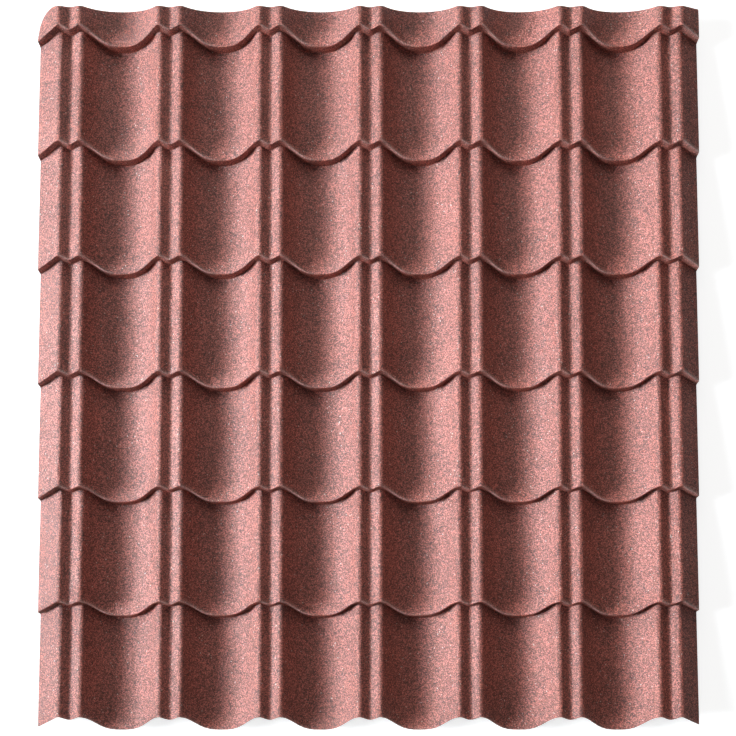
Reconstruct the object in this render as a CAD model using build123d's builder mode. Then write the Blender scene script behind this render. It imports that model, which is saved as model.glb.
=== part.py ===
from build123d import *
from math import asin, atan2, cos, degrees, hypot, radians, sin, sqrt
import os

os.makedirs("parts", exist_ok=True)

# Tile effect roofing sheet: one pressed steel sheet with a bonded stone coat.
# X runs across the sheet, +Y up the roof slope, +Z up. Millimetres.

# Waves across the sheet
wave_count = 7          # crest pairs
wave_pitch = 152.0      # groove to groove
crest_gap = 31.0        # between the two crests of a pair
crest_radius = 4.5
wave_depth = 30.0       # crest top down to the pan floor
groove_depth = 7.5      # crest top down to the groove floor
groove_radius = 5.0     # the groove is a V with a rounded floor
left_reach = 36.0       # first crest out to the left edge
left_drop = 22.5        # crest top down to the left edge
right_reach = 30.0      # last crest out to the right edge
right_drop = 17.4       # crest top down to the right edge

# Steps down the sheet
step_count = 6
step_pitch = 174.4
step_height = 18.0
riser_run = 6.0         # how far a riser leans down the slope
scallop = 25.0          # how far a pan lip sits below a crest lip in plan
top_stub = 31.0         # head edge to the first lip, along a crest

# Sheet
coated_thickness = 1.8
fold_break = 2.5        # the outer side of every fold is broken by a narrow flat
corner_trim_width = 31.0
corner_trim_length = 50.0

# Chords that draw each round stretch of the wave
pan_chords = 8          # a whole pan
edge_chords = 4         # a crest out to either edge
flank_chords = 3        # crest top to the pan
dip_chords = 2          # crest top to the groove side, and half the groove floor

# The lip of every step lies in a plane that leans down the slope, so the
# section is drawn on that plane and carried along the courses and the risers.
section_height = hypot(wave_depth, scallop)
steep = section_height / wave_depth
half_gap = crest_gap / 2
half_pan = wave_pitch / 2 - half_gap
pan_radius = (half_pan**2 + section_height**2) / (2 * section_height) - crest_radius
crest_level = section_height - crest_radius
groove_level = section_height - groove_depth * steep + groove_radius
groove_fall = crest_level - groove_level
flank = degrees(atan2(half_pan, pan_radius - crest_level))
dip = degrees(
    asin((crest_radius + groove_radius) / hypot(half_gap, groove_fall))
    + atan2(groove_fall, half_gap)
)

# The lower face is the same wave set in by the thickness, and its risers sit
# a little further up the slope so that the risers are as thick as the courses.
section_thickness = coated_thickness / 0.85
riser_shift = 1.5 * coated_thickness
base_level = section_thickness / steep

# Places: the origin is under the middle of the sheet
first_groove = -(wave_count - 1) * wave_pitch / 2
outer_crest = (wave_count - 1) * wave_pitch / 2 + half_gap
centre_x = (right_reach - left_reach) / 2
left_edge = -outer_crest - left_reach - centre_x
course_run = step_pitch - riser_run
climb = step_height / course_run
tail_lean = section_thickness * scallop / section_height
sheet_length = top_stub + step_count * step_pitch + scallop + tail_lean
head_edge = sheet_length / 2
first_lip = head_edge - top_stub
cut_margin = 50.0       # how far the cutting shapes reach past the sheet


def arc_points(centre, radius, start, sweep, chords):
    """Points round an arc, which is drawn as a few equal chords."""
    turns = [radians(start + sweep * k / chords) for k in range(chords + 1)]
    return [(centre[0] + radius * cos(t), centre[1] + radius * sin(t)) for t in turns]


def edge_centre(reach, drop):
    """Centre of the arc from a crest out to a side edge, as seen from the crest's own."""
    out, down = reach, drop * steep - crest_radius
    span, outer = hypot(out, down), pan_radius + crest_radius
    along = (outer**2 - pan_radius**2 + span**2) / (2 * span)
    off = sqrt(outer**2 - along**2)
    return (out * along + down * off) / span, (out * off - down * along) / span


def wave_points(set_in):
    """The wave line from the left edge to the right edge, in the section plane."""
    crest = crest_radius - set_in
    pan = pan_radius + set_in
    groove = groove_radius + set_in
    out, up = edge_centre(left_reach, left_drop)
    turn, end = degrees(atan2(out, up)), degrees(asin((out - left_reach) / pan))
    middle = (-outer_crest - out, crest_level + up)
    points = arc_points(middle, pan, 270 + end, turn - end, edge_chords)
    for i in range(wave_count):
        x = first_groove + i * wave_pitch
        left, right = (x - half_gap, crest_level), (x + half_gap, crest_level)
        rise = flank if i else turn
        points += arc_points(left, crest, 90 + rise, -rise, flank_chords)[1:]
        points += arc_points(left, crest, 90, -dip, dip_chords)[1:]
        points += arc_points((x, groove_level), groove, 270 - dip, 2 * dip, 2 * dip_chords)
        points += arc_points(right, crest, 90 + dip, -dip, dip_chords)
        if i < wave_count - 1:
            middle = (x + wave_pitch / 2, pan_radius)
            points += arc_points(right, crest, 90, -flank, flank_chords)[1:]
            points += arc_points(middle, pan, 270 - flank, 2 * flank, pan_chords)[1:]
    out, up = edge_centre(right_reach, right_drop)
    turn, end = degrees(atan2(out, up)), degrees(asin((out - right_reach) / pan))
    middle = (outer_crest + out, crest_level + up)
    points += arc_points(right, crest, 90, -turn, flank_chords)[1:]
    points += arc_points(middle, pan, 270 - turn, turn - end, edge_chords)[1:]
    return points


def section_wire(set_in, corner):
    """The wave line on the leaning plane through one corner of the sawtooth."""
    y, rise = corner
    with BuildLine() as wave:
        Polyline(*wave_points(set_in))
    foot = Vector(-centre_x, y - scallop, base_level + rise)
    leaning = Plane(origin=foot, x_dir=(1, 0, 0), z_dir=(0, -wave_depth, scallop))
    return leaning.from_local_coords(wave.wire())


def carried_face(set_in, corners):
    """One face of the sheet: the wave line carried along the sawtooth."""
    strips = []
    for start, end in zip(corners, corners[1:]):
        travel = Vector(0, end[0] - start[0], end[1] - start[1])
        strips += Shell.extrude(section_wire(set_in, start), travel).faces()
    return strips


def broken_fold(before, fold, after):
    """The two corners that break a fold on its outer side."""
    corners = []
    for end in (before, after):
        reach = fold_break / hypot(end[0] - fold[0], end[1] - fold[1])
        corners.append(tuple(fold[k] + reach * (end[k] - fold[k]) for k in (0, 1)))
    return corners


# Corners of the lengthwise sawtooth, from beyond the head edge to the tail
lead = top_stub + scallop + cut_margin
head_corner = (first_lip + lead, step_height - lead * climb)
tail_corner = (first_lip - step_count * step_pitch, step_height)
upper_corners = [head_corner]
lower_corners = [head_corner]
for i in range(step_count):
    lip = (first_lip - i * step_pitch, step_height)
    base = (lip[0] - riser_run, 0)
    course_start = (lip[0] + course_run, 0)
    upper_corners += broken_fold(course_start, lip, base) + [base]
    lip = (lip[0] + riser_shift, lip[1])
    base = (base[0] + riser_shift, base[1])
    course_end = (base[0] - course_run, step_height)
    lower_corners += [lip] + broken_fold(lip, base, course_end)
upper_corners.append(tail_corner)
lower_corners.append(tail_corner)

# Side and end faces that close the upper and lower faces into one solid
upper_wires = [section_wire(0, corner) for corner in upper_corners]
lower_wires = [section_wire(section_thickness, corner) for corner in lower_corners]
closing = []
for side in (0, 1):
    rim = [wire @ side for wire in upper_wires] + [wire @ side for wire in reversed(lower_wires)]
    closing.append(Face(Wire.make_polygon(rim, close=True)))
for end in (0, -1):
    upper, lower = upper_wires[end], lower_wires[end]
    joins = [Edge.make_line(upper @ side, lower @ side) for side in (0, 1)]
    closing.append(Face(Wire(upper.edges() + lower.edges() + joins)))

with BuildPart() as sheet:
    faces = carried_face(0, upper_corners) + carried_face(section_thickness, lower_corners)
    add(Solid(Shell(faces + closing)))
    # straight cut across the head
    with BuildSketch(Plane.XY):
        with Locations((0, head_edge)):
            width = wave_count * wave_pitch + 2 * cut_margin
            Rectangle(width, 2 * lead, align=(Align.CENTER, Align.MIN))
    extrude(amount=section_height + step_height, both=True, mode=Mode.SUBTRACT)
    # rounded trim at the head end of the left edge
    with BuildSketch(Plane.XY):
        with Locations((left_edge, head_edge)):
            Rectangle(2 * corner_trim_width, 2 * corner_trim_length)
        with Locations((left_edge + corner_trim_width, head_edge - corner_trim_length)):
            Ellipse(corner_trim_width, corner_trim_length, mode=Mode.SUBTRACT)
    extrude(amount=section_height + step_height, both=True, mode=Mode.SUBTRACT)
sheet.part.label = "roofing_sheet"
export_step(sheet.part, "parts/roofing_sheet.step")
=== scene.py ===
"""Tile effect roofing sheet: a pressed steel sheet with a bonded stone granule coat."""

import math

import bmesh
import bpy
from bpy.props import FloatProperty, FloatVectorProperty, IntProperty, PointerProperty
from bpy.types import Operator, Panel, PropertyGroup
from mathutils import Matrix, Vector


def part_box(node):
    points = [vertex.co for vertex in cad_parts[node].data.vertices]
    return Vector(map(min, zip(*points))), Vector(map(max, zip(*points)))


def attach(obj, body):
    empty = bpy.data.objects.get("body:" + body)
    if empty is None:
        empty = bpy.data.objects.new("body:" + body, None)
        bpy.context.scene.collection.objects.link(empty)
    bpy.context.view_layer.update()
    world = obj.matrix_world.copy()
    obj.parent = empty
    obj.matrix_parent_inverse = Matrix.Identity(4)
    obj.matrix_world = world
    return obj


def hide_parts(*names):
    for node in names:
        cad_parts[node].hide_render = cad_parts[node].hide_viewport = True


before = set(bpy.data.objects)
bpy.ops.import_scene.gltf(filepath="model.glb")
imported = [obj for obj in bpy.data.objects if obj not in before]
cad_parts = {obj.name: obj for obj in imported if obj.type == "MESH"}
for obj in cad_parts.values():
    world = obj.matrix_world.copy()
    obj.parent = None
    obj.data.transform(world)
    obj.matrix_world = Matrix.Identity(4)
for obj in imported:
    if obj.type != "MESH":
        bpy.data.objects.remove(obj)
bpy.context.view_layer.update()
SHEET_NODE = "roofing_sheet"
SHEET_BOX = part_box(SHEET_NODE)

bl_info = {
    "name": "Tile Effect Roofing Sheet",
    "version": (1, 0, 0),
    "blender": (4, 5, 0),
    "location": "3D View > Sidebar > Roofing",
    "description": "Presses a stepped roofing sheet and lays its stone granule coat",
    "category": "Object",
}


# Grade, chip half width, chips for each square metre, darkest and palest shade.
# A shade past 1 is a quartz fleck.
GRIT_GRADES = (
    ("coarse_grit", 0.00085, 14000, 0.1, 0.9),
    ("medium_grit", 0.00070, 16500, 0.0, 1.0),
    ("fine_grit", 0.00060, 16500, 0.2, 1.003),
)
FIRST_GRIT_SEED = 11

# Chords that draw each stretch of the wave
OUTER_CREST_CHORDS = 5      # crest top to the flank
INNER_CREST_CHORDS = 4      # crest top to the groove side
GROOVE_SIDE_CHORDS = 2
GROOVE_FLOOR_CHORDS = 6
PAN_FLANK_CHORDS = 3
PAN_FLOOR_CHORDS = 14
LEFT_EDGE_CHORDS = 8
RIGHT_EDGE_CHORDS = 7

# Painted highlight: a pale coat colour that stands in for light caught by the lips of shaded
# flanks
FOLD_HIGHLIGHT = (0.7, 1.0, 1.0, 0.9, 0.6, 0.35)      # row by row down the fold of a lip
HOLLOW_HIGHLIGHT = 0.7           # gained over the length of the hollow behind a lip
HOLLOW_HIGHLIGHT_START = 0.5     # share of the hollow left without painted highlight
FLANK_HIGHLIGHT = 1.6            # for each unit of fall to the right

# Rows that draw each stretch of the step line
HEAD_ROWS = 10
COURSE_ROWS = 4
HOLLOW_ROWS = 6
FOLD_CHORDS = len(FOLD_HIGHLIGHT) - 1

# Bends of the lips and of the hollows behind them, even at 1
SCALLOP_SKEW = 1.5          # higher keeps a lip in line for longer over its pan
HOLLOW_SKEW = 1.6           # higher brings the deepest place nearer the lip

# Places of the sheet's three materials
COAT_INDEX, BACK_INDEX, EDGE_INDEX = 0, 1, 2

# Small distances, in metres
MERGE_DISTANCE = 0.00004    # between points that the corner trim brings together
SIDE_LEAN = 0.0015          # how far in a side face may lean before it is set upright
CREST_CLEARANCE = 0.00005   # from the highest chip to the top of the solid
COAT_GRAIN = 0.0013         # stones of the coat
EDGE_GRAIN = 0.0012         # stones that are broken through at a sheared edge

# Share of its length that the head course keeps where the corner trim is deepest
LEAST_SQUEEZE = 0.02

# Stage, in metres
FLOOR_SIZE = 14.0
GLOW_START, GLOW_END = 0.8, 2.0     # the floor turns from pale to white between these


def length(name, default, description):
    """A size of the sheet, in metres."""
    return FloatProperty(
        name=name, default=default, description=description, unit="LENGTH", precision=4
    )


def colour(name, default, description):
    """A finish colour, in linear light."""
    return FloatVectorProperty(
        name=name, default=default, description=description,
        subtype="COLOR", size=3, min=0.0, max=1.0,
    )


class RoofingSheetSizes(PropertyGroup):
    """Sizes of the pressed sheet."""

    waves: IntProperty(name="Crest pairs", default=7, description="Crest pairs across the sheet")
    steps: IntProperty(name="Steps", default=6, description="Pressed steps down the sheet")
    wave_pitch: length("Wave pitch", 0.152, "Groove to groove")
    crest_gap: length("Crest gap", 0.031, "Between the two crests of a pair")
    wave_depth: length("Wave depth", 0.030, "Crest top down to the pan floor")
    groove_depth: length("Groove depth", 0.0060, "Crest top down to the groove floor")
    groove_radius: length("Groove radius", 0.007, "Rounding of the groove floor")
    crest_radius: length("Crest radius", 0.0070, "Rounding of a crest")
    flank_angle: FloatProperty(
        name="Flank angle", default=math.radians(58), subtype="ANGLE",
        description="Slope of the straight flanks, in the leaning plane of a lip",
    )
    left_reach: length("Left reach", 0.036, "First crest out to the left edge")
    left_drop: length("Left drop", 0.0225, "Crest top down to the left edge")
    right_reach: length("Right reach", 0.030, "Last crest out to the right edge")
    right_drop: length("Right drop", 0.0174, "Crest top down to the right edge")
    step_pitch: length("Step pitch", 0.1744, "Lip to lip down the slope")
    step_height: length("Step height", 0.018, "Height of a riser")
    riser_run: length("Riser run", 0.0048, "How far a riser leans down the slope")
    scallop: length("Scallop", 0.025, "How far a pan lip sits below a crest lip in plan")
    top_stub: length("Head stub", 0.030, "Head edge to the first lip along a crest")
    thickness: length("Coated thickness", 0.0018, "Steel and stone coat together")
    grit_relief: length("Grit relief", 0.0004, "How far single granules stand out of the coat")
    lip_radius: length("Lip radius", 0.0019, "Rounding of the fold at a lip")
    base_radius: length("Base radius", 0.0018, "Rounding of the fold under a riser")
    hollow_depth: length("Lip hollow", 0.0006, "Shallow hollow drawn in behind a lip")
    hollow_length: length("Lip hollow length", 0.011, "Length of the hollow behind a lip")
    trim_width: length("Trim width", 0.031, "Corner trim along the head edge")
    trim_length: length("Trim length", 0.050, "Corner trim along the side edge")


class RoofingSheetFinish(PropertyGroup):
    """Colours of the coat and of the bare sides."""

    stone: colour("Stone", (0.30, 0.064, 0.038), "Most of the granules")
    dark_stone: colour("Dark stone", (0.080, 0.015, 0.010), "Darkest granules")
    pale_stone: colour("Pale stone", (0.74, 0.22, 0.165), "Palest granules")
    fleck: colour("Fleck", (0.80, 0.70, 0.60), "Scattered quartz flecks")
    # Painted highlight colour, laid on the lip folds of the flanks that fall to the right
    lip_highlight_colour: colour("Worn lip", (0.92, 0.68, 0.62), "Stretched coat on the folds")
    back_coat: colour("Back coat", (0.36, 0.35, 0.32), "Thin primer on the underside")
    cut_steel: colour("Cut steel", (0.50, 0.51, 0.52), "Sheared edges")


class RoofingStageSettings(PropertyGroup):
    """Floor, lamps and camera."""

    floor: colour("Floor", (0.60, 0.60, 0.60), "Plain pale floor")
    key_power: FloatProperty(name="Key power", default=41.0, unit="POWER",
                             description="Soft lamp low on the left, with a narrow spread")
    fill_power: FloatProperty(name="Fill power", default=140.0, unit="POWER",
                              description="Wide soft lamp beyond the head edge")
    sky: FloatProperty(name="Sky", default=0.085, description="Even light from all round")
    floor_glow: FloatProperty(name="Floor glow", default=0.80,
                              description="Light added to the floor for the camera alone")


def arc_points(centre, radius, start, sweep, chords):
    """Points round an arc, angles in degrees."""
    turns = [math.radians(start + sweep * k / chords) for k in range(chords + 1)]
    return [(centre[0] + radius * math.cos(t), centre[1] + radius * math.sin(t)) for t in turns]


def between(start, end, chords):
    """Points along a straight run, without its first."""
    parts = [k / chords for k in range(1, chords + 1)]
    return [(start[0] + (end[0] - start[0]) * p, start[1] + (end[1] - start[1]) * p)
            for p in parts]


def run_on(points, arc, chords):
    """Carries a line on with a straight run up to an arc, and then the arc."""
    points += between(points[-1], arc[0], chords) + arc[1:]


def edge_slope(reach, drop, crest):
    """Slope of the straight flank from a crest out to a side edge, in degrees."""
    down = drop - crest
    return math.degrees(math.atan2(down, reach) + math.asin(crest / math.hypot(reach, down)))


def wave_line(size):
    """The wave across the sheet, as (x, y, z) points of one lip."""
    tall = math.hypot(size.wave_depth, size.scallop)
    steep = tall / size.wave_depth
    crest, groove = size.crest_radius, size.groove_radius
    half_gap = size.crest_gap / 2
    half_pan = size.wave_pitch / 2 - half_gap
    leaning = size.flank_angle
    pan = (half_pan - tall / math.tan(leaning)) / math.tan(leaning / 2) - crest
    crest_level = tall - crest
    groove_level = tall - size.groove_depth * steep + groove
    flank = math.degrees(leaning)
    fall = crest_level - groove_level
    dip = math.asin((crest + groove) / math.hypot(half_gap, fall)) + math.atan2(fall, half_gap)
    dip = math.degrees(dip)
    first_groove = -(size.waves - 1) * size.wave_pitch / 2

    left_drop, right_drop = size.left_drop * steep, size.right_drop * steep
    left_slope = edge_slope(size.left_reach, left_drop, crest)
    right_slope = edge_slope(size.right_reach, right_drop, crest)
    points = [(first_groove - half_gap - size.left_reach, tall - left_drop)]
    for i in range(size.waves):
        x = first_groove + i * size.wave_pitch
        left, right = (x - half_gap, crest_level), (x + half_gap, crest_level)
        rise, chords = (flank, PAN_FLANK_CHORDS) if i else (left_slope, LEFT_EDGE_CHORDS)
        run_on(points, arc_points(left, crest, 90 + rise, -rise, OUTER_CREST_CHORDS), chords)
        points += arc_points(left, crest, 90, -dip, INNER_CREST_CHORDS)[1:]
        floor = arc_points((x, groove_level), groove, 270 - dip, 2 * dip, GROOVE_FLOOR_CHORDS)
        run_on(points, floor, GROOVE_SIDE_CHORDS)
        rising = arc_points(right, crest, 90 + dip, -dip, INNER_CREST_CHORDS)
        run_on(points, rising, GROOVE_SIDE_CHORDS)
        if i < size.waves - 1:
            middle = (x + size.wave_pitch / 2, pan)
            points += arc_points(right, crest, 90, -flank, OUTER_CREST_CHORDS)[1:]
            floor = arc_points(middle, pan, 270 - flank, 2 * flank, PAN_FLOOR_CHORDS)
            run_on(points, floor, PAN_FLANK_CHORDS)
    points += arc_points(right, crest, 90, -right_slope, OUTER_CREST_CHORDS)[1:]
    right_end = (right[0] + size.right_reach, tall - right_drop)
    points += between(points[-1], right_end, RIGHT_EDGE_CHORDS)

    def up_slope(x, t):
        """How far up the slope a lip point stands, from a pan to a crest."""
        from_pan = abs((x - first_groove) / size.wave_pitch % 1.0 - 0.5) * size.wave_pitch
        share = t / tall
        if from_pan < half_pan and abs(x) < -first_groove:
            share = (1 - math.cos(math.pi * (from_pan / half_pan) ** SCALLOP_SKEW)) / 2
        return (share - 1) * size.scallop

    shift = (size.right_reach - size.left_reach) / 2
    return [(x - shift, up_slope(x, t), t / steep) for x, t in points]


def shaded_flank_highlight(across):
    """How much painted highlight each column gets: only flanks falling to the right, away from
    the key lamp, get it.
    """
    ends = [across[0]] + across + [across[-1]]
    falls = [(a[2] - b[2]) / (b[0] - a[0]) for a, b in zip(ends, ends[2:])]
    return [min(max(FLANK_HIGHLIGHT * fall, 0.0), 1.0) for fall in falls]


def rounded_fold(before, fold, after, radius, chords):
    """Points that round the fold of the step line at one corner."""
    to_before = (Vector(before) - Vector(fold)).normalized()
    to_after = (Vector(after) - Vector(fold)).normalized()
    half = to_before.angle(to_after) / 2
    centre = Vector(fold) + (to_before + to_after).normalized() * radius / math.sin(half)
    start = Vector(fold) + to_before * radius / math.tan(half) - centre
    end = Vector(fold) + to_after * radius / math.tan(half) - centre
    turn = start.angle(end)
    points = []
    for k in range(chords + 1):
        part = k / chords
        blend = start * math.sin((1 - part) * turn) + end * math.sin(part * turn)
        points.append(tuple(centre + blend / math.sin(turn)))
    return points


def step_line(size, first_lip):
    """The sawtooth down the sheet, as (y, z, painted highlight) points from the tail to the head.
    """
    course = size.step_pitch - size.riser_run
    climb = size.step_height / course
    hollow = size.hollow_length
    ahead = size.top_stub + size.scallop
    kept_clear = 4 * hollow     # run of a course that its even rows leave to the folds
    points = []
    for k in range(HEAD_ROWS, 0, -1):
        back = hollow + (ahead - hollow) * k / HEAD_ROWS
        points.append((first_lip + back, size.step_height - back * climb, 0.0))
    for i in range(size.steps + 1):
        lip = (first_lip - i * size.step_pitch, size.step_height)
        base = (lip[0] - size.riser_run, 0.0)
        course_start = (lip[0] + course, 0.0)
        last = i == size.steps
        fold = [lip]
        if not last:
            fold = rounded_fold(course_start, lip, base, size.lip_radius, FOLD_CHORDS)
        run_in = fold[0]
        if i > 0:
            for k in range(COURSE_ROWS, 0, -1):
                back = hollow + k * (course - kept_clear) / (COURSE_ROWS + 1)
                points.append((run_in[0] + back, run_in[1] - back * climb, 0.0))
        for k in range(HOLLOW_ROWS):
            part = k / HOLLOW_ROWS
            back = hollow * (1 - part)
            dip = size.hollow_depth * math.sin(math.pi * part**HOLLOW_SKEW) ** 2
            # Painted highlight grows over the last part of the hollow behind a lip
            wear = HOLLOW_HIGHLIGHT * max(part - HOLLOW_HIGHLIGHT_START, 0.0)
            points.append((run_in[0] + back, run_in[1] - back * climb - dip, wear))
        # The lip fold takes the painted highlight row by row
        points += [(y, z, wear) for (y, z), wear in zip(fold, FOLD_HIGHLIGHT)]
        if last:
            break
        next_lip = (base[0] - course, size.step_height)
        foot = rounded_fold(lip, base, next_lip, size.base_radius, FOLD_CHORDS)
        points += [(y, z, 0.0) for y, z in foot]
    return points[::-1]


def line_object(name, points, wear):
    """A temporary chain of points that a node tree reads, with a painted highlight value at each.
    """
    mesh = bpy.data.meshes.new(name)
    mesh.from_pydata(points, [(k, k + 1) for k in range(len(points) - 1)], [])
    mesh.attributes.new("wear", "FLOAT", "POINT").data.foreach_set("value", wear)
    line = bpy.data.objects.new(name, mesh)
    bpy.context.scene.collection.objects.link(line)
    return line


class Wiring:
    """Short calls that add, set and join the nodes of one tree."""

    def __init__(self, tree):
        self.tree = tree

    def node(self, kind, inputs=None, **settings):
        """A new node, with its settings and the given inputs set or joined."""
        made = self.tree.nodes.new(kind)
        for key, value in settings.items():
            setattr(made, key, value)
        self.join(made, inputs or {})
        return made

    def join(self, node, inputs):
        """Joins the sockets among the given inputs to a node, and sets the plain values."""
        for key, value in inputs.items():
            if isinstance(value, bpy.types.NodeSocket):
                self.tree.links.new(value, node.inputs[key])
            else:
                node.inputs[key].default_value = value

    def math(self, operation, *values):
        """The result socket of one sum."""
        inputs = dict(enumerate(values))
        return self.node("ShaderNodeMath", inputs, operation=operation).outputs[0]

    def blend(self, kind, factor, a, b):
        """A colour mix: of the node's sockets, 6, 7 and 2 are those for colours."""
        inputs = {0: factor, 6: a, 7: b}
        return self.node("ShaderNodeMix", inputs, data_type="RGBA", blend_type=kind).outputs[2]

    def spread(self, value, low, high, to_low=0.0, to_high=1.0):
        """A value carried from one range to another and kept inside it."""
        inputs = {0: value, 1: low, 2: high, 3: to_low, 4: to_high}
        return self.node("ShaderNodeMapRange", inputs).outputs[0]


def new_tree(name, kind, inputs, outputs):
    """A node tree with named sockets, its wiring, and the sockets that give its inputs."""
    tree = bpy.data.node_groups.new(name, kind)
    for label, socket_type in outputs.items():
        tree.interface.new_socket(name=label, in_out="OUTPUT", socket_type=socket_type)
    for label, (socket_type, default) in inputs.items():
        socket = tree.interface.new_socket(name=label, in_out="INPUT", socket_type=socket_type)
        if default is not None:
            socket.default_value = default
    wiring = Wiring(tree)
    return tree, wiring, wiring.node("NodeGroupInput").outputs


def pressing_tree():
    """Carries a wave line along a step line, then trims the head edge and one corner."""
    number, thing = "NodeSocketFloat", "NodeSocketObject"
    tree, w, given = new_tree("Press sheet", "GeometryNodeTree", {
        "Wave line": (thing, None),
        "Step line": (thing, None),
        "Head edge": (number, 0.55),
        "Left edge": (number, -0.5),
        "Trim width": (number, 0.03),
        "Trim length": (number, 0.05),
        "Head course": (number, 0.1),
        "Climb": (number, 0.1),
        "Unevenness": (number, 0.00025),
        "Wave depth": (number, 0.03),
        "Material": ("NodeSocketMaterial", None),
    }, {"Geometry": "NodeSocketGeometry"})

    wave = w.node("GeometryNodeObjectInfo", {"Object": given["Wave line"]}).outputs["Geometry"]
    steps = w.node("GeometryNodeObjectInfo", {"Object": given["Step line"]}).outputs["Geometry"]
    columns = w.node("GeometryNodeAttributeDomainSize", {0: wave}).outputs["Point Count"]
    rows = w.node("GeometryNodeAttributeDomainSize", {0: steps}).outputs["Point Count"]
    grid = w.node("GeometryNodeMeshGrid", {"Vertices X": columns, "Vertices Y": rows})

    # The grid counts its points column by column
    index = w.node("GeometryNodeInputIndex").outputs[0]
    column = w.math("FLOOR", w.math("DIVIDE", w.math("ADD", index, 0.5), rows))
    row = w.math("SUBTRACT", index, w.math("MULTIPLY", column, rows))
    place = w.node("GeometryNodeInputPosition").outputs[0]
    wear = w.node("GeometryNodeInputNamedAttribute", {"Name": "wear"}, data_type="FLOAT")

    def sampled(kind, line, value, at):
        """A value read from one point of a line."""
        inputs = {"Geometry": line, "Value": value, "Index": at}
        found = w.node("GeometryNodeSampleIndex", inputs, data_type=kind, domain="POINT")
        return found.outputs[0]

    across = sampled("FLOAT_VECTOR", wave, place, column)
    along = sampled("FLOAT_VECTOR", steps, place, row)
    head_row = sampled("FLOAT_VECTOR", steps, place, w.math("SUBTRACT", rows, 1.0))
    pressed = w.node("ShaderNodeVectorMath", {0: across, 1: along}, operation="ADD").outputs[0]

    # Rows of the head course close up so that the last lies on the cut edge
    parts = w.node("ShaderNodeSeparateXYZ", {0: pressed}).outputs
    inset = w.math("SUBTRACT", parts["X"], given["Left edge"])
    short = w.math("SUBTRACT", 1.0, w.math("DIVIDE", inset, given["Trim width"]))
    short = w.node("ShaderNodeClamp", {0: short}).outputs[0]
    curve = w.math("SQRT", w.math("SUBTRACT", 1.0, w.math("MULTIPLY", short, short)))
    trimmed = w.math("MULTIPLY", given["Trim length"], w.math("SUBTRACT", 1.0, curve))
    limit = w.math("SUBTRACT", given["Head edge"], trimmed)
    lean_y = w.node("ShaderNodeSeparateXYZ", {0: across}).outputs["Y"]
    full = w.math("ADD", w.node("ShaderNodeSeparateXYZ", {0: head_row}).outputs["Y"], lean_y)
    start = w.math("SUBTRACT", full, given["Head course"])
    squeeze = w.math("DIVIDE", w.math("SUBTRACT", limit, start), given["Head course"])
    squeeze = w.math("MAXIMUM", squeeze, LEAST_SQUEEZE)
    past = w.math("MAXIMUM", w.math("SUBTRACT", parts["Y"], start), 0.0)
    slide = w.math("MULTIPLY", past, w.math("SUBTRACT", 1.0, squeeze))
    kept_y = w.math("SUBTRACT", parts["Y"], slide)
    slid = w.math("MULTIPLY", slide, given["Climb"])

    # A pressing is never quite even: crests sink and pan floors rise a little
    noise = w.node("ShaderNodeTexNoise", {"Vector": pressed, "Scale": 9.0, "Detail": 2.0})
    height = w.math("DIVIDE", w.node("ShaderNodeSeparateXYZ", {0: across}).outputs["Z"],
                    given["Wave depth"])
    lean = w.math("SUBTRACT", 1.0, w.math("MULTIPLY", height, 2.0))
    uneven = w.math("MULTIPLY", noise.outputs[0], w.math("MULTIPLY", given["Unevenness"], lean))
    kept_z = w.math("ADD", w.math("ADD", parts["Z"], slid), uneven)
    final = w.node("ShaderNodeCombineXYZ", {"X": parts["X"], "Y": kept_y, "Z": kept_z}).outputs[0]

    # Painted highlight: the fold rows' share times the shaded flank columns' share
    sheet = w.node("GeometryNodeStoreNamedAttribute", {
        "Geometry": grid.outputs["Mesh"], "Name": "wear",
        "Value": w.math("MULTIPLY", sampled("FLOAT", steps, wear.outputs[0], row),
                        sampled("FLOAT", wave, wear.outputs[0], column)),
    }, data_type="FLOAT", domain="POINT").outputs[0]
    sheet = w.node("GeometryNodeSetPosition", {"Geometry": sheet, "Position": final}).outputs[0]
    inputs = {"Geometry": sheet, "Distance": MERGE_DISTANCE}
    sheet = w.node("GeometryNodeMergeByDistance", inputs).outputs[0]
    sheet = w.node("GeometryNodeRealizeInstances", {"Geometry": sheet}).outputs[0]
    inputs = {"Geometry": sheet, "Material": given["Material"]}
    sheet = w.node("GeometryNodeSetMaterial", inputs).outputs[0]
    w.node("NodeGroupOutput", {"Geometry": sheet})
    return tree


def tree_applied(name, tree, values, finishing=(), slots=()):
    """Runs a node tree, and any finishing modifiers, into a plain mesh object."""
    maker = bpy.data.objects.new(name, bpy.data.meshes.new(name))
    for material in slots:
        maker.data.materials.append(material)
    bpy.context.scene.collection.objects.link(maker)
    modifier = maker.modifiers.new("Nodes", "NODES")
    modifier.node_group = tree
    for item in tree.interface.items_tree:
        if item.item_type == "SOCKET" and item.in_out == "INPUT" and item.name in values:
            modifier[item.identifier] = values[item.name]
    for kind, settings in finishing:
        extra = maker.modifiers.new(kind.title(), kind)
        for key, value in settings.items():
            setattr(extra, key, value)
    bpy.context.view_layer.update()
    depsgraph = bpy.context.evaluated_depsgraph_get()
    made = bpy.data.meshes.new_from_object(maker.evaluated_get(depsgraph), depsgraph=depsgraph)
    made.name = name
    # A tree's new mesh has an empty first place, and its own material comes second
    for material in slots[len(made.materials):]:
        made.materials.append(material)
    if made.materials[0] is None:
        made.materials.pop(index=0)
    maker.modifiers.clear()
    maker.data = made
    return maker


def lift_to(mesh, level):
    """Stands the sheet on the level that its underside rests on."""
    lowest = min(v.co.z for v in mesh.vertices)
    for v in mesh.vertices:
        v.co.z += level - lowest
    mesh.update()


def flatten_sides(mesh, left, right):
    """Brings the side faces upright, as a shear leaves them."""
    for face in mesh.polygons:
        if face.material_index == EDGE_INDEX:
            for index in face.vertices:
                place = mesh.vertices[index].co
                if min(place.x - left, right - place.x) < SIDE_LEAN:
                    place.x = left if place.x < 0 else right
    mesh.update()


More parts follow.
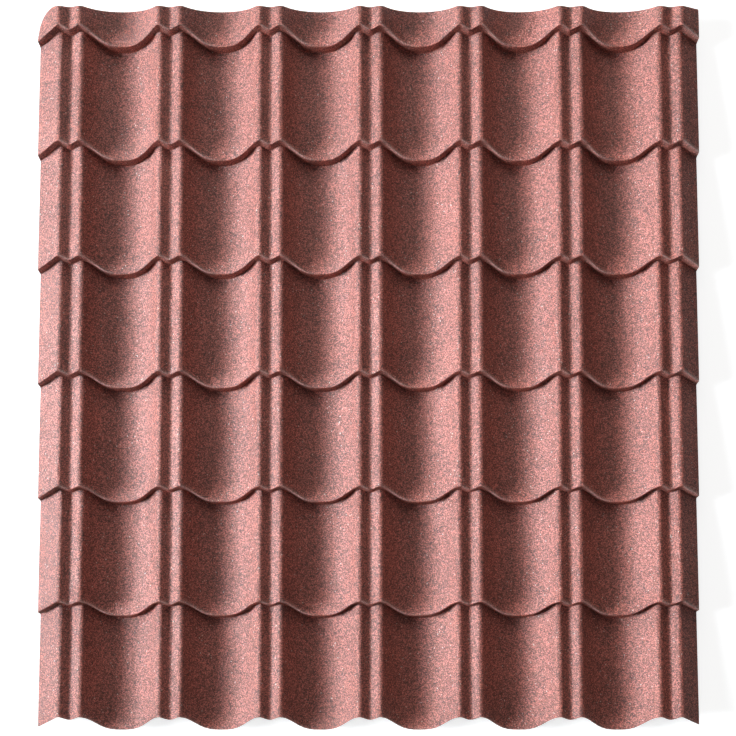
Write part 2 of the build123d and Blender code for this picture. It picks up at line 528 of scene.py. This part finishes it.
def granule_group():
    """Bonded granules: a colour for each grain, and how high it stands."""
    name = "Stone granules"
    if name in bpy.data.node_groups:
        return bpy.data.node_groups[name]
    number, tint = "NodeSocketFloat", "NodeSocketColor"
    tree, w, given = new_tree(name, "ShaderNodeTree", {
        "Grain size": (number, COAT_GRAIN),
        "Stone": (tint, None),
        "Dark stone": (tint, None),
        "Pale stone": (tint, None),
        "Fleck": (tint, None),
        "Fleck share": (number, 0.004),
    }, {"Color": tint, "Height": number, "Grain": number})
    finer = 1.9             # how much smaller the grains between the main ones are
    main_share = 0.75       # share of a place's shade that its main grain gives
    fine_height = 0.35      # height of the small grains against the main ones
    place = w.node("ShaderNodeTexCoord").outputs["Object"]
    scale = w.math("DIVIDE", 1.0, given["Grain size"])
    grains = w.node("ShaderNodeTexVoronoi", {"Vector": place, "Scale": scale}, feature="F1")
    random = w.node("ShaderNodeSeparateColor", {0: grains.outputs["Color"]}).outputs
    fines = w.math("MULTIPLY", scale, finer)
    fine = w.node("ShaderNodeTexVoronoi", {"Vector": place, "Scale": fines}, feature="F1")
    fine_random = w.node("ShaderNodeSeparateColor", {0: fine.outputs["Color"]}).outputs
    mottle = w.node("ShaderNodeTexNoise", {"Vector": place, "Scale": 14.0, "Detail": 3.0})

    shade = w.math("ADD", w.math("MULTIPLY", random[0], main_share),
                   w.math("MULTIPLY", fine_random[1], 1.0 - main_share))
    shade = w.math("ADD", shade, w.spread(mottle.outputs[0], 0.3, 0.7, -0.05, 0.05))
    body = w.blend("MIX", w.spread(shade, 0.2, 0.5), given["Dark stone"], given["Stone"])
    body = w.blend("MIX", w.spread(shade, 0.5, 0.8), body, given["Pale stone"])
    fleck = w.math("GREATER_THAN", random[2], w.math("SUBTRACT", 1.0, given["Fleck share"]))
    body = w.blend("MIX", fleck, body, given["Fleck"])

    mound = w.math("SUBTRACT", 1.0, w.spread(grains.outputs["Distance"], 0.1, 0.75))
    tall = w.math("MULTIPLY", mound, w.spread(random[1], 0.0, 1.0, 0.4, 1.0))
    small = w.math("SUBTRACT", 1.0, w.spread(fine.outputs["Distance"], 0.1, 0.75))
    height = w.math("ADD", tall, w.math("MULTIPLY", small, fine_height))
    w.node("NodeGroupOutput", {"Color": body, "Height": height, "Grain": shade})
    return tree


def grit_tree():
    """Scatters sharp chips over the coated face, each with a shade of its own."""
    number = "NodeSocketFloat"
    tree, w, given = new_tree("Scatter grit", "GeometryNodeTree", {
        "Sheet": ("NodeSocketObject", None),
        "Density": (number, 20000.0),
        "Chip size": (number, 0.0008),
        "Flatness": (number, 0.6),
        "Darkest": (number, 0.0),
        "Palest": (number, 1.0),
        "Seed": ("NodeSocketInt", 1),
        "Material": ("NodeSocketMaterial", None),
    }, {"Geometry": "NodeSocketGeometry"})
    sheet = w.node("GeometryNodeObjectInfo", {"Object": given["Sheet"]}).outputs["Geometry"]
    part = w.node("GeometryNodeInputMaterialIndex").outputs[0]
    inputs = {2: part, 3: COAT_INDEX}
    coated = w.node("FunctionNodeCompare", inputs, data_type="INT", operation="EQUAL")
    spots = w.node("GeometryNodeDistributePointsOnFaces", {
        "Mesh": sheet, "Selection": coated.outputs[0], "Density": given["Density"],
        "Seed": given["Seed"],
    })

    def random(low, high, seed):
        """A random value for each chip: a vector between two vectors, or else a number."""
        kind, first, result = "FLOAT", 2, 1
        if isinstance(low, tuple):
            kind, first, result = "FLOAT_VECTOR", 0, 0
        inputs = {first: low, first + 1: high, "Seed": seed}
        return w.node("FunctionNodeRandomValue", inputs, data_type=kind).outputs[result]

    smallest, largest = (0.75, 0.75, 0.75), (1.25, 1.25, 1.25)
    tilt, spin = 0.5, 3.1
    chip = w.node("GeometryNodeMeshUVSphere",
                  {"Segments": 4, "Rings": 2, "Radius": given["Chip size"]}).outputs["Mesh"]
    placed = w.node("GeometryNodeInstanceOnPoints", {
        "Points": spots.outputs["Points"], "Instance": chip,
        "Rotation": spots.outputs["Rotation"],
        "Scale": random(smallest, largest, seed=3),
    }).outputs[0]
    flat = w.node("ShaderNodeCombineXYZ", {"X": 1.0, "Y": 1.0, "Z": given["Flatness"]}).outputs[0]
    placed = w.node("GeometryNodeScaleInstances", {"Instances": placed, "Scale": flat}).outputs[0]
    turn = random((-tilt, -tilt, -spin), (tilt, tilt, spin), seed=4)
    turn = w.node("FunctionNodeEulerToRotation", {0: turn}).outputs[0]
    inputs = {"Instances": placed, "Rotation": turn}
    placed = w.node("GeometryNodeRotateInstances", inputs).outputs[0]
    placed = w.node("GeometryNodeStoreNamedAttribute", {
        "Geometry": placed, "Name": "shade",
        "Value": random(given["Darkest"], given["Palest"], seed=5),
    }, data_type="FLOAT", domain="INSTANCE").outputs[0]
    grit = w.node("GeometryNodeRealizeInstances", {"Geometry": placed}).outputs[0]
    inputs = {"Geometry": grit, "Material": given["Material"]}
    grit = w.node("GeometryNodeSetMaterial", inputs).outputs[0]
    w.node("NodeGroupOutput", {"Geometry": grit})
    return tree


def new_material(name):
    """An empty material with a Principled shader, its wiring and that shader."""
    material = bpy.data.materials.new(name)
    material.use_nodes = True
    material.node_tree.nodes.clear()
    w = Wiring(material.node_tree)
    shader = w.node("ShaderNodeBsdfPrincipled")
    w.node("ShaderNodeOutputMaterial", {"Surface": shader.outputs[0]})
    return material, w, shader


def stone_granules(w, finish, grain_size):
    """The outputs of one use of the granule group, in the stone colours."""
    inputs = {"Grain size": grain_size}
    for label in ("Stone", "Dark stone", "Pale stone", "Fleck"):
        value = getattr(finish, label.lower().replace(" ", "_"))
        inputs[label] = (*value, 1.0)
    return w.node("ShaderNodeGroup", inputs, node_tree=granule_group()).outputs


def stone_coat(finish):
    """Granule coat on the upper face, with a pale painted highlight on the lip folds of shaded
    flanks.
    """
    material, w, shader = new_material("stone_coat")
    granules = stone_granules(w, finish, COAT_GRAIN)
    wear = w.node("ShaderNodeAttribute", attribute_name="wear").outputs["Fac"]
    # Painted highlight, patchy grain by grain, mixed toward the pale highlight colour
    patchy_highlight = w.math("MULTIPLY", wear, w.spread(granules["Grain"], 0.1, 0.9, 0.35, 1.0))
    bump = {"Height": granules["Height"], "Distance": 0.0006, "Strength": 0.8}
    w.join(shader, {
        "Base Color": w.blend("MIX", patchy_highlight, granules["Color"], (*finish.lip_highlight_colour, 1.0)),
        "Roughness": w.spread(granules["Grain"], 0.15, 0.85, 0.56, 0.38),
        "Normal": w.node("ShaderNodeBump", bump).outputs[0],
        "Specular IOR Level": 1.0,
        "IOR": 1.6,
    })
    return material


def loose_grit(finish):
    """Single chips that stand out of the coat, in the same stones."""
    material, w, shader = new_material("loose_grit")
    shade = w.node("ShaderNodeAttribute", attribute_name="shade").outputs["Fac"]
    tint = w.blend("MIX", w.spread(shade, 0.0, 0.45), (*finish.dark_stone, 1.0),
                   (*finish.stone, 1.0))
    tint = w.blend("MIX", w.spread(shade, 0.5, 0.95), tint, (*finish.pale_stone, 1.0))
    tint = w.blend("MIX", w.spread(shade, 1.0, 1.02), tint, (*finish.fleck, 1.0))
    w.join(shader, {
        "Base Color": tint,
        "Roughness": w.spread(shade, 0.0, 1.05, 0.62, 0.42),
        "Specular IOR Level": 0.5,
    })
    return material


def back_coat(finish):
    """Thin dull primer over zinc on the underside, with faint rolling streaks."""
    material, w, shader = new_material("back_coat")
    place = w.node("ShaderNodeTexCoord").outputs["Object"]
    drawn_out = {"Vector": place, "Scale": (60.0, 3.0, 60.0)}
    stretched = w.node("ShaderNodeMapping", drawn_out).outputs[0]
    streak = w.node("ShaderNodeTexNoise", {"Vector": stretched, "Scale": 1.0, "Detail": 4.0})
    spangle = w.node("ShaderNodeTexVoronoi", {"Vector": place, "Scale": 160.0}, feature="F1")
    shine = w.node("ShaderNodeSeparateColor", {0: spangle.outputs["Color"]}).outputs[0]
    shade = w.math("ADD", w.spread(streak.outputs[0], 0.3, 0.7, 0.82, 1.08),
                   w.math("MULTIPLY", w.math("SUBTRACT", shine, 0.5), 0.10))
    light = w.node("ShaderNodeCombineColor", {0: shade, 1: shade, 2: shade}).outputs[0]
    bump = {"Height": streak.outputs[0], "Distance": 0.0003, "Strength": 0.25}
    w.join(shader, {
        "Base Color": w.blend("MULTIPLY", 1.0, (*finish.back_coat, 1.0), light),
        "Roughness": w.spread(shine, 0.0, 1.0, 0.42, 0.58),
        "Normal": w.node("ShaderNodeBump", bump).outputs[0],
        "Metallic": 0.35,
    })
    return material


def sheared_edge(finish):
    """Cut edge: a bright line of steel with the broken coat over it."""
    material, w, shader = new_material("sheared_edge")
    granules = stone_granules(w, finish, EDGE_GRAIN)
    bare = w.spread(granules["Grain"], 0.75, 0.95)
    bump = {"Height": granules["Height"], "Distance": 0.0004}
    w.join(shader, {
        "Base Color": w.blend("MIX", bare, granules["Color"], (*finish.cut_steel, 1.0)),
        "Normal": w.node("ShaderNodeBump", bump).outputs[0],
        "Metallic": w.math("MULTIPLY", bare, 0.7),
        "Roughness": 0.6,
    })
    return material


class ROOFING_OT_press_sheet(Operator):
    """Press the sheet: waves across, steps down, head edge cut and one corner trimmed"""

    bl_idname = "roofing.press_sheet"
    bl_label = "Press Sheet"

    def execute(self, context):
        size = context.scene.roofing_sizes
        finish = context.scene.roofing_finish
        across = wave_line(size)
        head = SHEET_BOX[1][1]
        steps = step_line(size, head - size.top_stub)
        along = [(0.0, y, z) for y, z, wear in steps]
        # The wave line carries the flank share of the painted highlight, the step line the row
        # share
        wave_object = line_object("wave_line", across, shaded_flank_highlight(across))
        step_object = line_object("step_line", along, [wear for y, z, wear in steps])
        coat, back, edge = stone_coat(finish), back_coat(finish), sheared_edge(finish)
        sheet = tree_applied("pressed_sheet", pressing_tree(), {
            "Wave line": wave_object,
            "Step line": step_object,
            "Head edge": head,
            "Left edge": across[0][0],
            "Trim width": size.trim_width,
            "Trim length": size.trim_length,
            "Head course": size.top_stub + size.scallop - size.lip_radius,
            "Climb": size.step_height / (size.step_pitch - size.riser_run),
            "Wave depth": size.wave_depth,
            "Material": coat,
        }, [("SOLIDIFY", {
            "thickness": size.thickness - size.grit_relief,
            "offset": -1.0,
            "use_even_offset": True,
            "use_quality_normals": True,
            "material_offset": BACK_INDEX,
            "material_offset_rim": EDGE_INDEX,
        })], (None, coat, back, edge))
        flatten_sides(sheet.data, across[0][0], across[-1][0])
        lift_to(sheet.data, SHEET_BOX[0][2])
        bpy.data.objects.remove(wave_object)
        bpy.data.objects.remove(step_object)
        sheet.data.shade_smooth()
        sheet.data.set_sharp_from_angle(angle=math.radians(40))
        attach(sheet, "root")
        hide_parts(SHEET_NODE)
        return {"FINISHED"}


class ROOFING_OT_scatter_grit(Operator):
    """Scatter the granules that stand out of the coat, grade by grade"""

    bl_idname = "roofing.scatter_grit"
    bl_label = "Scatter Grit"

    def execute(self, context):
        sheet = bpy.data.objects.get("pressed_sheet")
        if sheet is None:
            raise RuntimeError("Press the sheet first")
        chips = loose_grit(context.scene.roofing_finish)
        tree = grit_tree()
        for seed, (name, chip, count, darkest, palest) in enumerate(GRIT_GRADES, FIRST_GRIT_SEED):
            grit = tree_applied(name, tree, {
                "Sheet": sheet, "Density": count, "Chip size": chip,
                "Darkest": darkest, "Palest": palest, "Seed": seed, "Material": chips,
            })
            keep_inside(grit.data, sheet.data)
            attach(grit, "root")
        return {"FINISHED"}


def keep_inside(mesh, sheet):
    """Drops the chips that overhang the cut edges and levels those on the crests."""
    places = [v.co for v in sheet.vertices]
    low = Vector([min(place[k] for place in places) for k in range(3)])
    high = Vector([max(place[k] for place in places) for k in range(3)])
    work = bmesh.new()
    work.from_mesh(mesh)
    outside = [v for v in work.verts
               if not (low.x < v.co.x < high.x and low.y < v.co.y < high.y)]
    # Two steps along the edges reach all six corners of a chip
    stray = {v for start in outside for edge in start.link_edges for v in edge.verts}
    stray = {v for start in stray for edge in start.link_edges for v in edge.verts}
    bmesh.ops.delete(work, geom=list(stray), context="VERTS")
    top = SHEET_BOX[1][2] - CREST_CLEARANCE
    for v in work.verts:
        v.co.z = min(v.co.z, top)
    work.to_mesh(mesh)
    work.free()


def plain_floor(settings):
    """A flat pale floor that reaches the camera as white and keeps the shadow."""
    bpy.ops.mesh.primitive_plane_add(size=FLOOR_SIZE, location=(0, 0, 0))
    floor = bpy.context.object
    floor.name = "floor"
    material = bpy.data.materials.new("pale_floor")
    material.use_nodes = True
    material.node_tree.nodes.clear()
    w = Wiring(material.node_tree)
    matt = w.node("ShaderNodeBsdfDiffuse", {"Color": (*settings.floor, 1.0)}).outputs[0]
    place = w.node("ShaderNodeTexCoord").outputs["Object"]
    away = w.node("ShaderNodeVectorMath", {0: place}, operation="LENGTH").outputs["Value"]
    glow = w.math("MULTIPLY", w.node("ShaderNodeLightPath").outputs["Is Camera Ray"],
                  w.spread(away, GLOW_START, GLOW_END, settings.floor_glow, 1.0))
    light = w.node("ShaderNodeEmission", {"Strength": glow}).outputs[0]
    both = w.node("ShaderNodeAddShader", {0: matt, 1: light}).outputs[0]
    w.node("ShaderNodeOutputMaterial", {"Surface": both})
    floor.data.materials.append(material)


def soft_sky(strength):
    """White for the camera and a dim even light for everything else."""
    world = bpy.data.worlds.new("studio")
    bpy.context.scene.world = world
    world.use_nodes = True
    world.node_tree.nodes.clear()
    w = Wiring(world.node_tree)
    rays = w.node("ShaderNodeLightPath").outputs
    seen = w.math("MAXIMUM", rays["Is Camera Ray"], rays["Is Transmission Ray"])
    level = w.math("ADD", strength, w.math("MULTIPLY", seen, 1.0 - strength))
    sky = w.node("ShaderNodeBackground", {"Color": (1.0, 1.0, 1.0, 1.0), "Strength": level})
    w.node("ShaderNodeOutputWorld", {"Surface": sky.outputs[0]})


def soft_lamp(name, power, tint, size, aim, toward, distance):
    """Hangs a square area lamp in one direction from a point and returns its settings."""
    data = bpy.data.lights.new(name, "AREA")
    data.energy = power
    data.color = tint
    data.size = size
    lamp = bpy.data.objects.new(name, data)
    bpy.context.scene.collection.objects.link(lamp)
    lamp.location = Vector(aim) + toward * distance
    lamp.rotation_euler = toward.to_track_quat("Z", "Y").to_euler()
    return data


def direction(azimuth, elevation):
    """Unit vector at an azimuth from +X and a height over the floor, in degrees."""
    a, e = math.radians(azimuth), math.radians(elevation)
    return Vector((math.cos(a) * math.cos(e), math.sin(a) * math.cos(e), math.sin(e)))


def camera_overhead():
    """The photograph's camera: straight above, with the frame shifted a little off its foot."""
    frame_pixels = 736.0
    metres_per_pixel = 0.001511
    camera_height = 2.083
    crest_level = 0.0496
    middle_groove = (0.003, 370.1)
    first_lip = (0.5209, 25.5)
    foot_pixel = (368.0, 430.0)
    data = bpy.data.cameras.new("overhead")
    camera = bpy.data.objects.new("overhead", data)
    bpy.context.scene.collection.objects.link(camera)
    data.sensor_width = 36.0
    data.lens = data.sensor_width * camera_height / (metres_per_pixel * frame_pixels)
    x = middle_groove[0] + (foot_pixel[0] - middle_groove[1]) * metres_per_pixel
    y = first_lip[0] - (foot_pixel[1] - first_lip[1]) * metres_per_pixel
    camera.location = (x, y, camera_height + crest_level)
    data.shift_y = (foot_pixel[1] - frame_pixels / 2) / frame_pixels
    bpy.context.scene.camera = camera


class ROOFING_OT_stage(Operator):
    """Set the floor, the soft lamps and the overhead camera"""

    bl_idname = "roofing.stage"
    bl_label = "Set Stage"

    def execute(self, context):
        settings = context.scene.roofing_stage
        plain_floor(settings)
        soft_sky(settings.sky)
        key = soft_lamp(
            "key", settings.key_power, tint=(0.89, 0.945, 1.0), size=2.2,
            aim=(0, 0.05, 0), toward=direction(179, 24), distance=6.5,
        )
        key.spread = math.radians(34)
        soft_lamp(
            "fill", settings.fill_power, tint=(1.0, 0.96, 0.92), size=4.5,
            aim=(0, 0, 0), toward=direction(93, 38), distance=7.0,
        )
        camera_overhead()
        context.scene.view_settings.view_transform = "Standard"
        return {"FINISHED"}


class ROOFING_PT_panel(Panel):
    """Roofing sheet tools"""

    bl_idname = "ROOFING_PT_panel"
    bl_label = "Roofing Sheet"
    bl_space_type = "VIEW_3D"
    bl_region_type = "UI"
    bl_category = "Roofing"

    def draw(self, context):
        layout = self.layout
        for step in STEPS:
            layout.operator(step.bl_idname)
        for group in (context.scene.roofing_sizes, context.scene.roofing_finish,
                      context.scene.roofing_stage):
            box = layout.box()
            for name in group.__annotations__:
                box.prop(group, name)


STEPS = (ROOFING_OT_stage, ROOFING_OT_press_sheet, ROOFING_OT_scatter_grit)
CLASSES = (RoofingSheetSizes, RoofingSheetFinish, RoofingStageSettings, *STEPS, ROOFING_PT_panel)


def register():
    for cls in CLASSES:
        bpy.utils.register_class(cls)
    bpy.types.Scene.roofing_sizes = PointerProperty(type=RoofingSheetSizes)
    bpy.types.Scene.roofing_finish = PointerProperty(type=RoofingSheetFinish)
    bpy.types.Scene.roofing_stage = PointerProperty(type=RoofingStageSettings)


def unregister():
    del bpy.types.Scene.roofing_stage
    del bpy.types.Scene.roofing_finish
    del bpy.types.Scene.roofing_sizes
    for cls in reversed(CLASSES):
        bpy.utils.unregister_class(cls)


def main():
    register()
    bpy.ops.roofing.stage()
    bpy.ops.roofing.press_sheet()
    bpy.ops.roofing.scatter_grit()


if __name__ == "__main__":
    main()
